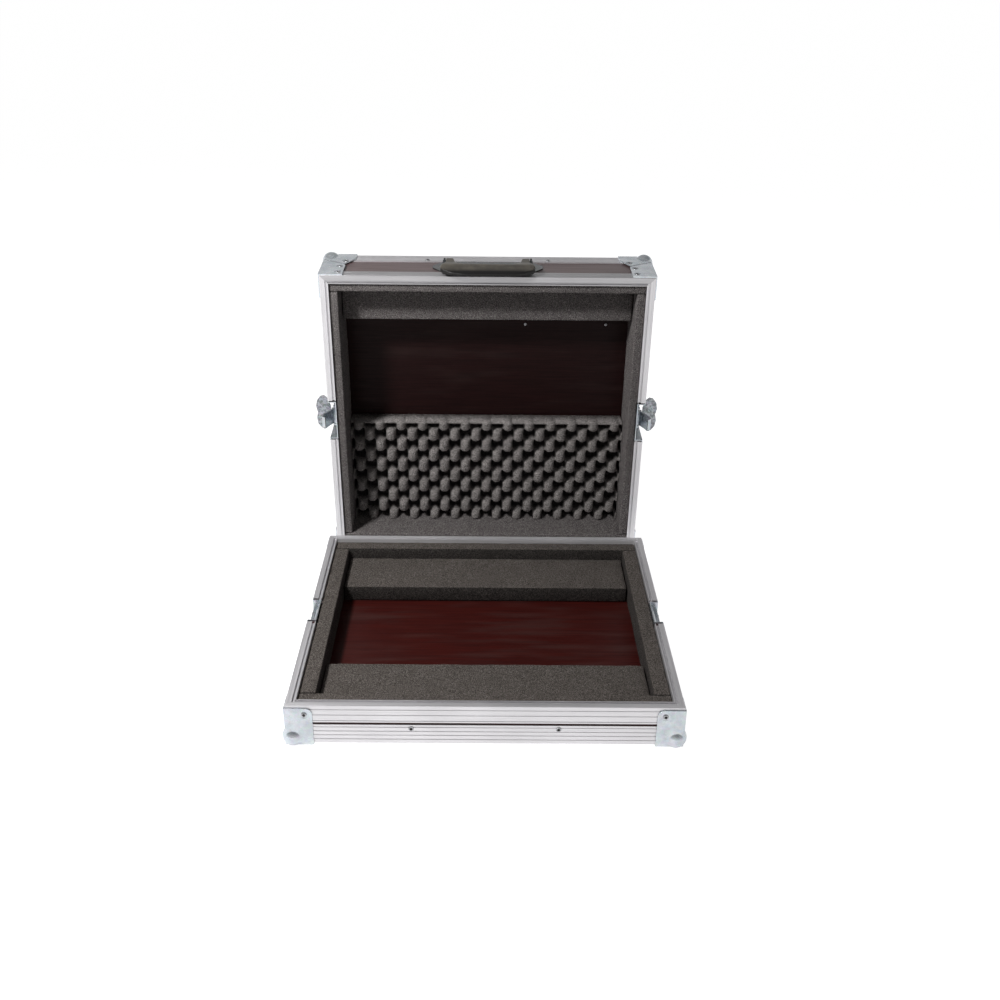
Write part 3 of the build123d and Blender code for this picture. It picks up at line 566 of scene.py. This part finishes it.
def egg_crate(node, lobes, cut):
    """The egg-crate block, its lobes pointing into the cover and its sides and back cut plain."""
    low, high = closed_box(node)
    bm = bmesh.new()
    top = []
    for j in range(CRATE_ROWS + 1):
        y = low.y + (high.y - low.y) * j / CRATE_ROWS
        line = []
        for i in range(CRATE_COLUMNS + 1):
            x = low.x + (high.x - low.x) * i / CRATE_COLUMNS
            ragged = RAGGED_DEPTH * noise.noise(Vector((x, y, 0)) * RAGGED_SCALE)
            height = min(crate_height(x, y - low.y) + ragged, high.z - low.z)
            line.append(bm.verts.new(STAND @ Vector((x, y, high.z - height))))
        top.append(line)
    for one, two in zip(top, top[1:]):
        for i in range(CRATE_COLUMNS):
            bm.faces.new((two[i], two[i + 1], one[i + 1], one[i]))
    rim = (
        top[0]
        + [line[-1] for line in top[1:]]
        + top[-1][-2::-1]
        + [line[0] for line in top[-2:0:-1]]
    )
    back = STAND.inverted()
    foot = []
    for v in rim:
        place = back @ v.co
        foot.append(bm.verts.new(STAND @ Vector((place.x, place.y, high.z))))
    for k in range(len(rim)):
        after = (k + 1) % len(rim)
        bm.faces.new((foot[k], foot[after], rim[after], rim[k])).material_index = 1
    bm.faces.new(foot).material_index = 1
    bmesh.ops.recalc_face_normals(bm, faces=bm.faces)
    piece = stand_in("egg_crate_foam", bm, node, "foam", lobes, cut)


def foam_pieces():
    """A cut block for each foam node, and the egg crate."""
    tray_top = foam_finish("foam_tray", FLAT, TRAY_FOAM_TOP)
    # The tray blocks' sides take a darker copy of their foam as painted shade.
    tray_side_painted_shade = foam_finish("foam_tray_side", FLAT, TRAY_FOAM_SIDE_PAINTED_SHADE)
    cover_foam = foam_finish("foam_cover", STAND, COVER_FOAM)
    panel = closed_box("cover_foam_egg_crate")[1].z
    # The egg crate's hollows take painted shade near the panel.
    painted_hollow_shade = (panel - CRATE_SHADE_FROM, panel - CRATE_SHADE_TO)
    lobes = foam_finish("foam_crate", STAND, CRATE_FOAM, painted_hollow_shade)
    cut = foam_finish("foam_crate_cut", STAND, CRATE_CUT)
    foams = sorted(node for node in frame["nodes"] if "foam" in node)
    for count, node in enumerate(foams, start=1):
        if node == "cover_foam_egg_crate":
            egg_crate(node, lobes, cut)
        else:
            top, side = (tray_top, tray_side_painted_shade) if home(node) == FLAT else (cover_foam, cover_foam)
            cut_block(node, 1 + SEED_STEP * count, top, side)


# Rivets

RIVET_TURNS = 20
# The rivet's section from its foot to the mandrel, as shares of its radius and height.
RIVET_PROFILE = (
    (1.0, 0.0),
    (1.0, 0.3),
    (0.9, 0.68),
    (0.72, 0.92),
    (0.6, 1.0),
    (0.54, 0.9),
    (0.5, 0.35),
    (0.12, 0.3),
)
# The step of the section from which a rivet has its second material, the painted shade in its
# hole.
RIVET_HOLE_FROM = 5
# A rivet's outer side looks away from this point inside the closed case.
CASE_MIDDLE = Vector((0.0, MID_Y, 100 * MM))
# Rivet ends inside the cover: their x, and their y from the middle of the case.
PANEL_TIPS = ((54.7 * MM, -115.3 * MM), (170.3 * MM, -115.6 * MM))
TIP_RADIUS = 2.1 * MM
TIP_HEIGHT = 1.1 * MM


def islands(node):
    """The separate shells of a node, each a list of points in the closed case."""
    bm = merged_mesh(node)
    back = home(node).inverted()
    left = set(bm.verts)
    shells = []
    while left:
        queue = [left.pop()]
        shell = []
        while queue:
            vert = queue.pop()
            shell.append(back @ vert.co)
            for edge in vert.link_edges:
                other = edge.other_vert(vert)
                if other in left:
                    left.remove(other)
                    queue.append(other)
        shells.append(shell)
    bm.free()
    return shells


def dome(bm, turn, foot, out, radius, height):
    """One blind rivet on its foot: a domed flange round a sunken mandrel."""
    across = out.orthogonal().normalized()
    beside = out.cross(across)
    angles = [2 * math.pi * i / RIVET_TURNS for i in range(RIVET_TURNS)]
    rings = []
    for r, h in RIVET_PROFILE:
        ring = []
        for angle in angles:
            side = across * math.cos(angle) + beside * math.sin(angle)
            ring.append(bm.verts.new(turn @ (foot + side * r * radius + out * h * height)))
        rings.append(ring)
    bm.faces.new(rings[0][::-1])
    bm.faces.new(rings[-1]).material_index = 1
    for step, (one, two) in enumerate(zip(rings, rings[1:])):
        for i in range(RIVET_TURNS):
            j = (i + 1) % RIVET_TURNS
            wall = bm.faces.new((one[i], one[j], two[j], two[i]))
            wall.material_index = int(step >= RIVET_HOLE_FROM)


def rivet_domes(node, flange, hole_shade):
    """Smooth blind rivets, one on each rivet of the node."""
    bm = bmesh.new()
    for shell in islands(node):
        low, high = span_of(shell)
        centre = (low + high) / 2
        size = high - low
        thin = min(range(3), key=lambda i: size[i])
        out = Vector((0.0, 0.0, 0.0))
        out[thin] = 1.0 if centre[thin] > CASE_MIDDLE[thin] else -1.0
        foot = centre - out * size[thin] / 2
        dome(bm, home(node), foot, out, max(size) / 2, size[thin])
    stand_in(f"{node}_domed", bm, node, "rivet", flange, hole_shade)


def panel_tips(material):
    """Ends of rivets that stand out of the cover panel's inside, between its foams."""
    bm = bmesh.new()
    inside = closed_box("cover_top_panel")[0].z
    for x, y in PANEL_TIPS:
        foot = Vector((x, MID_Y + y, inside))
        dome(bm, STAND, foot, Vector((0.0, 0.0, -1.0)), TIP_RADIUS, TIP_HEIGHT)
    piece = new_object("panel_rivet_tips", bm, material, material)
    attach(piece, "cover")


# Ball corners

BALL_RADIUS = 13 * MM
BALL_SEGMENTS = 48
BALL_RINGS = 32
CORNER_VOXEL = 0.8 * MM
CORNER_ROUNDS = 5
# Neither half of the case has balls at its open side, so its bound there lies far off.
FAR = 1.0


def ball_caps(bm, centre, low, high):
    """The ball's three caps that stand out of the case, each a closed shell."""
    for axis in range(3):
        upper = abs(centre[axis] - high[axis]) < abs(centre[axis] - low[axis])
        plane = Vector(centre)
        plane[axis] = high[axis] if upper else low[axis]
        normal = Vector((0.0, 0.0, 0.0))
        normal[axis] = 1.0 if upper else -1.0
        cap = bmesh.new()
        bmesh.ops.create_uvsphere(
            cap, u_segments=BALL_SEGMENTS, v_segments=BALL_RINGS, radius=BALL_RADIUS
        )
        bmesh.ops.translate(cap, verts=cap.verts, vec=centre)
        everything = cap.verts[:] + cap.edges[:] + cap.faces[:]
        bmesh.ops.bisect_plane(
            cap, geom=everything, plane_co=plane, plane_no=normal, clear_inner=True
        )
        bmesh.ops.holes_fill(cap, edges=cap.edges)
        scratch = bpy.data.meshes.new("cap")
        cap.to_mesh(scratch)
        cap.free()
        bm.from_mesh(scratch)
        bpy.data.meshes.remove(scratch)


def pressed_corners(node, material):
    """Corner fittings with a true ball, its plates drawn up into it."""
    half = frame["nodes"][node]["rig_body"]
    low = closed_box(f"{half}_edge_angle_left")[0]
    high = closed_box(f"{half}_edge_angle_right")[1]
    low.y = closed_box(f"{half}_edge_angle_front")[0].y
    high.y = closed_box(f"{half}_edge_angle_rear")[1].y
    if half == "tray":
        high.z = FAR
    else:
        low.z = -FAR
    bm = merged_mesh(node)
    bmesh.ops.transform(bm, matrix=home(node).inverted(), verts=bm.verts)
    for shell in islands(node):
        near, far = span_of(shell)
        centre = Vector((0.0, 0.0, 0.0))
        for axis in range(3):
            reach = far[axis] if far[axis] > high[axis] else near[axis]
            middle = (low[axis] + high[axis]) / 2
            centre[axis] = reach - math.copysign(BALL_RADIUS, reach - middle)
        ball_caps(bm, centre, low, high)
    bmesh.ops.transform(bm, matrix=home(node), verts=bm.verts)
    piece = stand_in(f"{node}_pressed", bm, node, "zinc_steel", material)
    soften(piece, CORNER_VOXEL, CORNER_ROUNDS)


# The grip

# The height of its pins in the closed case. It thins from this far below them, over this far.
GRIP_AXIS = 102.5 * MM
GRIP_CROWN = 30 * MM
GRIP_FALL = 27 * MM
# Its underside's distance from the front face, and the shares of its thickness and width
# that it loses.
GRIP_UNDER = 4 * MM
GRIP_THIN = 0.5
GRIP_TAPER = 0.1
# Its long edges are halved, up to this many times, until none is longer than this.
GRIP_CUTS = 5
GRIP_EDGE = 5 * MM
GRIP_VOXEL = 0.9 * MM
GRIP_ROUNDS = 10


def soft_grip():
    """The moulded grip: the CAD solid's form, thinned towards its free edge and worked round."""
    bm = merged_mesh("handle_grip")
    bmesh.ops.triangulate(bm, faces=bm.faces)
    for _ in range(GRIP_CUTS):
        long = [e for e in bm.edges if e.calc_length() > GRIP_EDGE]
        bmesh.ops.subdivide_edges(bm, edges=long, cuts=1)
        bmesh.ops.triangulate(bm, faces=bm.faces)
    back = STAND.inverted()
    for vert in bm.verts:
        place = back @ vert.co
        reach = clamp((GRIP_AXIS - place.z - GRIP_CROWN) / GRIP_FALL)
        place.x *= 1 - GRIP_TAPER * reach**2
        out = FRONT - place.y
        place.y = FRONT - (GRIP_UNDER + (out - GRIP_UNDER) * (1 - GRIP_THIN * reach))
        vert.co = STAND @ place
    rubber = grip_rubber("grip_rubber", STAND)
    piece = stand_in("moulded_grip", bm, "handle_grip", "grip", rubber)
    soften(piece, GRIP_VOXEL, GRIP_ROUNDS)


# Finishes of the frame's own nodes

# How deep in the cover's panel the painted shade of its inside gives way to the tones of its
# outside, and where these are full.
PAINTED_SHADE_ENDS_FROM = 3 * MM
PAINTED_SHADE_GONE_AT = 2 * MM


def profile_finishes():
    """One finish for each way that the extrusions run, with a darker copy on the cover's front and
    rear rims as painted shade and a brighter one on the tray's rear rim as painted light.
    """
    for half, place in (("tray", FLAT), ("cover", STAND)):
        for run, sides in (("X", ("front", "rear")), ("Y", ("left", "right"))):
            material = aluminium(f"aluminium_{half}_{run}", place, run)
            for side in sides:
                paint(f"{half}_rim_{side}", material)
                paint(f"{half}_edge_angle_{side}", material)
    # The cover's front and rear rims: a darker copy of the aluminium, painted shade.
    cover_rim = aluminium("aluminium_cover_rim_X_painted_shade", STAND, "X", shade=0.7)
    paint("cover_rim_front", cover_rim)
    paint("cover_rim_rear", cover_rim)
    # The tray's rear rim: a less metallic copy that renders brighter, painted light.
    paint("tray_rim_rear", aluminium("aluminium_tray_rear_painted_light", FLAT, "X", metal=0.45))


def node_finishes():
    """Boards, fittings and rivets; the rivets and ball corners are made anew."""
    tray_zinc = zinc("zinc_tray", FLAT)
    # The cover's zinc: a lighter copy, painted light on its fittings.
    cover_zinc_painted_light = zinc("zinc_cover_painted_light", STAND, shade=1.2)
    dish_zinc = zinc("zinc_dish", STAND, shade=0.85)
    # The wings and the handle plate take dark blotches as painted reflection.
    wing_zinc = zinc("zinc_wing", STAND, shade=0.62, painted_reflection=0.6)
    handle_zinc = zinc("zinc_handle", STAND, shade=0.2, painted_reflection=0.6)
    tray_rivet = rivet_steel("rivet_tray", FLAT)
    cover_rivet = rivet_steel("rivet_cover", STAND)
    hole_shade = hole_shade_finish("hole_shade")
    outside = closed_box("cover_top_panel")[1].z
    painted_shade_ends = (outside - PAINTED_SHADE_ENDS_FROM, outside - PAINTED_SHADE_GONE_AT)
    tray_ply = laminate("laminate_tray", FLAT, TRAY_PLY, haze=0.2, gloss=0.18)
    # The cover panel's inside is darkened with painted shade; its outside keeps the ply's tones.
    cover_ply_painted_shade = laminate("laminate_cover_painted_shade", STAND, COVER_PLY_PAINTED_SHADE, haze=0.1, gloss=0.08, painted_shade_ends=painted_shade_ends)
    side_ply = laminate("laminate_sides", STAND, OUTER_PLY, haze=0.2, gloss=0.3)
    front_ply_painted_light = laminate("laminate_front_painted_light", STAND, FRONT_PLY_PAINTED_LIGHT, haze=0.2, gloss=0.4)
    for node in frame["nodes"]:
        on_tray = home(node) == FLAT
        if "panel" in node:
            paint(node, tray_ply if on_tray else cover_ply_painted_shade)
        elif "wall" in node:
            paint(node, tray_ply if on_tray else side_ply)
        elif "rivets" in node:
            rivet_domes(node, tray_rivet if on_tray else cover_rivet, hole_shade)
        elif "ball_corners" in node:
            pressed_corners(node, tray_zinc if on_tray else cover_zinc_painted_light)
        elif "latch" in node:
            paint(node, wing_zinc if "wing" in node or "spindle" in node else dish_zinc)
        elif node in ("handle_plate", "handle_pins"):
            paint(node, handle_zinc)
        elif "corner" in node or "keeper" in node:
            paint(node, tray_zinc if on_tray else cover_zinc_painted_light)
    # The front wall takes the lighter ply: painted light.
    paint("cover_wall_front", front_ply_painted_light)


# Studio

FLOOR_REACH = 40.0
FLOOR_CELLS = 4
FLOOR_DROP = 0.4 * MM
FLOOR_WHITE = (0.86, 0.86, 0.86)
FLOOR_PAPER = (0.5, 0.5, 0.5)
FLOOR_GLOW = 0.93
SKY_WHITE = (1.0, 1.0, 1.0)
SKY_GREY = (0.8, 0.8, 0.8)
FILL_STRENGTH = 0.17
# The sky that metal mirrors darkens from the horizon up to this share of the zenith's
# height, where it has this share of its light left.
CEILING_HEIGHT = 0.7
CEILING_SHARE = 0.32

# The photo's camera: its turn in degrees, its place in metres and its lens in millimetres.
PITCH = 28.287
YAW = 0.342
ROLL = 0.56
EYE = (-0.002266, -1.335198, 0.80259)
LENS = 40.893
SENSOR = 36.0
SHIFT_X = 0.00997
SHIFT_Y = 0.0624


def studio_floor():
    """A white floor that glows to the eye and in metal, and takes the case's shadow."""
    bm = bmesh.new()
    bmesh.ops.create_grid(bm, x_segments=FLOOR_CELLS, y_segments=FLOOR_CELLS, size=FLOOR_REACH)
    coat = Finish("studio_white", FLOOR_WHITE, roughness=0.9, specular=0.1)
    floor = new_object("studio_floor", bm, coat.material)
    floor.location.z = -FLOOR_DROP
    path = coat.add("ShaderNodeLightPath").outputs
    seen = coat.math("MAXIMUM", path["Is Camera Ray"], path["Is Glossy Ray"])
    glow = coat.add("ShaderNodeEmission")
    coat.feed(glow.inputs["Strength"], FLOOR_GLOW)
    paper = coat.add("ShaderNodeBsdfDiffuse")
    coat.feed(paper.inputs["Color"], (*FLOOR_PAPER, 1))
    both = coat.add("ShaderNodeAddShader")
    coat.feed(both.inputs[0], glow.outputs[0])
    coat.feed(both.inputs[1], paper.outputs[0])
    shown = coat.blend(seen, coat.shader.outputs[0], both.outputs[0])
    coat.feed(coat.tree.nodes["Material Output"].inputs["Surface"], shown)


def background(tree, color, strength):
    """A sky of one colour."""
    node = tree.add("ShaderNodeBackground")
    tree.feed_all(node, {"Color": (*color, 1), "Strength": strength})
    return node.outputs[0]


def studio_world():
    """White to the eye, darker overhead in metal, and an even soft fill for the rest."""
    world = bpy.data.worlds.new("studio")
    bpy.context.scene.world = world
    world.use_nodes = True
    world.node_tree.nodes.clear()
    sky = Tree(world.node_tree)
    path = sky.add("ShaderNodeLightPath").outputs
    height = sky.axis("Z", sky.add("ShaderNodeTexCoord").outputs["Generated"])
    ceiling = sky.span(height, 0.0, CEILING_HEIGHT, 1.0, CEILING_SHARE)
    fill = background(sky, SKY_GREY, FILL_STRENGTH)
    gloss = background(sky, SKY_GREY, ceiling)
    white = background(sky, SKY_WHITE, 1.0)
    mirrored = sky.math("MAXIMUM", path["Is Glossy Ray"], path["Is Transmission Ray"])
    unseen = sky.blend(mirrored, fill, gloss)
    shown = sky.blend(path["Is Camera Ray"], unseen, white)
    sky.feed(sky.add("ShaderNodeOutputWorld").inputs["Surface"], shown)


def area_light(name, place, target, size, power, in_metal=True):
    """A round lamp turned to its target, mirrored by metal or not."""
    data = bpy.data.lights.new(name, "AREA")
    data.shape = "DISK"
    data.size = size
    data.energy = power
    lamp = bpy.data.objects.new(name, data)
    lamp.location = place
    lamp.rotation_mode = "QUATERNION"
    lamp.rotation_quaternion = (Vector(target) - Vector(place)).to_track_quat("-Z", "Y")
    lamp.visible_camera = False
    lamp.visible_glossy = in_metal
    bpy.context.scene.collection.objects.link(lamp)


def camera():
    """The photo's camera."""
    pitch, yaw, roll = (math.radians(angle) for angle in (PITCH, YAW, ROLL))
    forward = Vector(
        (math.sin(yaw) * math.cos(pitch), math.cos(yaw) * math.cos(pitch), -math.sin(pitch))
    )
    level = Vector((math.cos(yaw), -math.sin(yaw), 0))
    upright = level.cross(forward)
    right = math.cos(roll) * level + math.sin(roll) * upright
    up = math.cos(roll) * upright - math.sin(roll) * level
    data = bpy.data.cameras.new("photo_camera")
    data.lens = LENS
    data.sensor_width = SENSOR
    data.shift_x = SHIFT_X
    data.shift_y = SHIFT_Y
    eye = bpy.data.objects.new("photo_camera", data)
    turn = Matrix((right, up, -forward)).transposed().to_4x4()
    eye.matrix_world = Matrix.Translation(EYE) @ turn
    bpy.context.scene.collection.objects.link(eye)
    bpy.context.scene.camera = eye


camera()
profile_finishes()
node_finishes()
foam_pieces()
panel_tips(rivet_steel("rivet_tips", STAND))
soft_grip()
studio_floor()
studio_world()
area_light("key", place=(-0.52, -0.27, 0.86), target=(-0.05, -0.02, 0.0), size=0.14, power=7.6)
area_light(
    "back_fill", place=(0.5, 1.9, 1.6), target=(0.0, 0.2, 0.2), size=1.6, power=9.0, in_metal=False
)
bpy.context.scene.view_settings.view_transform = "Standard"
